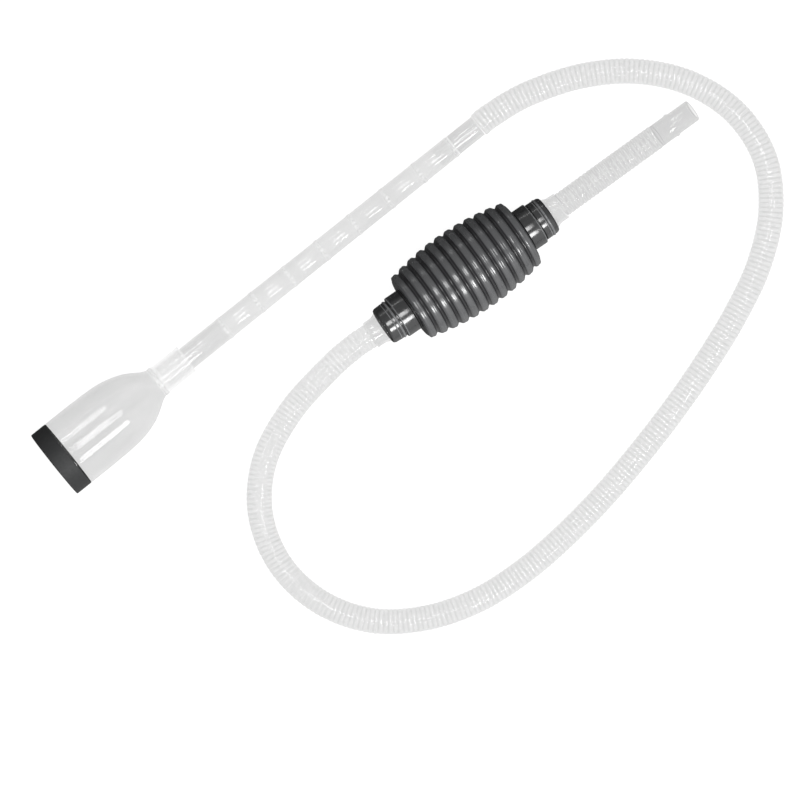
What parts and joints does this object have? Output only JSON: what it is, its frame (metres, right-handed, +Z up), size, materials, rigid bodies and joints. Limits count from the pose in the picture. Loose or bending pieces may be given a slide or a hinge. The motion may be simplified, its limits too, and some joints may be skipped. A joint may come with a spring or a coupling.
{
  "type": "gravel vacuum siphon",
  "caption": "Aquarium gravel siphon: clear bell with a strainer guard on a ringed stem, a long corrugated hose in a loop, and a ribbed hand pump with an outlet hose.",
  "frame": {"origin": "on the table, under the middle of the object's box measured without the long hose", "axes": "+X is the pump's heading toward its outlet, +Z is up from the table the siphon lies on"},
  "size_m": [0.5016, 0.2714, 0.0594],
  "materials": {
    "guard": "satin charcoal moulding",
    "clear_shell": "clear, glossy",
    "stem": "clear, slightly hazy",
    "hose": "translucent milky corrugated tube",
    "bellows": "satin grey elastomer",
    "collar": "glossy charcoal moulding",
    "seal": "black rubber",
    "valve": "white moulding",
    "pin": "grey moulding"
  },
  "bodies": {
    "wand_and_inlet": {"suction_bell": "clear_shell", "neck_bushing": "clear_shell", "bell_connector": "clear_shell", "stem_tube": "stem", "stem_hose_connector": "clear_shell", "hose": "hose", "inlet_hose_cuff": "clear_shell", "inlet_seal": "seal", "inlet_housing": "collar", "inlet_valve_seat": "valve", "inlet_flap_pin": "pin", "inlet_bellows_ring": "seal", "bellows": "bellows"},
    "guard": {"strainer_guard": "guard"},
    "inlet_flap": {"inlet_valve_flap": "seal"},
    "inlet_ring": {"inlet_grip_ring": "valve"},
    "inlet_nut_body": {"inlet_nut": "collar"},
    "pump_outlet": {"outlet_bellows_ring": "seal", "outlet_housing": "collar", "outlet_valve_seat": "valve", "outlet_flap_pin": "pin", "outlet_seal": "seal", "outlet_hose_cuff": "clear_shell", "outlet_hose": "hose"},
    "outlet_flap": {"outlet_valve_flap": "seal"},
    "outlet_ring": {"outlet_grip_ring": "valve"},
    "outlet_nut_body": {"outlet_nut": "collar"}
  },
  "joints": [
    {"name": "guard_pull", "type": "slide", "parent": "wand_and_inlet", "child": "guard", "axis": [-0.9959, -0.0759, 0.0495], "range_m": [0, 0.014]},
    {"name": "pump_squeeze", "type": "slide", "parent": "wand_and_inlet", "child": "pump_outlet", "axis": [-0.9922, 0, 0.1245], "range_m": [0, 0.04], "stiffness_N_per_m": 300, "deforming": ["bellows"]},
    {"name": "inlet_flap_swing", "type": "hinge", "parent": "wand_and_inlet", "child": "inlet_flap", "pos_m": [0.00917, -0.027, 0.04172], "axis": [0, -1, 0], "range_deg": [0, 50], "stiffness_Nm_per_rad": 0.0002},
    {"name": "outlet_flap_swing", "type": "hinge", "parent": "pump_outlet", "child": "outlet_flap", "pos_m": [0.10095, -0.027, 0.03021], "axis": [0, -1, 0], "range_deg": [0, 50], "stiffness_Nm_per_rad": 0.0002},
    {"name": "inlet_nut_travel", "type": "slide", "parent": "wand_and_inlet", "child": "inlet_ring", "axis": [-0.9922, 0, 0.1245], "range_m": [0, 0.003]},
    {"name": "inlet_nut_turn", "type": "hinge", "parent": "inlet_ring", "child": "inlet_nut_body", "pos_m": [-0.00209, -0.027, 0.03719], "axis": [-0.9922, 0, 0.1245], "range_deg": [0, 545]},
    {"name": "outlet_nut_travel", "type": "slide", "parent": "pump_outlet", "child": "outlet_ring", "axis": [0.9922, 0, -0.1245], "range_m": [0, 0.003]},
    {"name": "outlet_nut_turn", "type": "hinge", "parent": "outlet_ring", "child": "outlet_nut_body", "pos_m": [0.11668, -0.027, 0.02229], "axis": [0.9922, 0, -0.1245], "range_deg": [0, 545]}
  ],
  "couplings": [
    {"joint": "inlet_nut_turn", "follows": "inlet_nut_travel", "rad_per_m": 3141.6},
    {"joint": "outlet_nut_turn", "follows": "outlet_nut_travel", "rad_per_m": 3141.6}
  ]
}
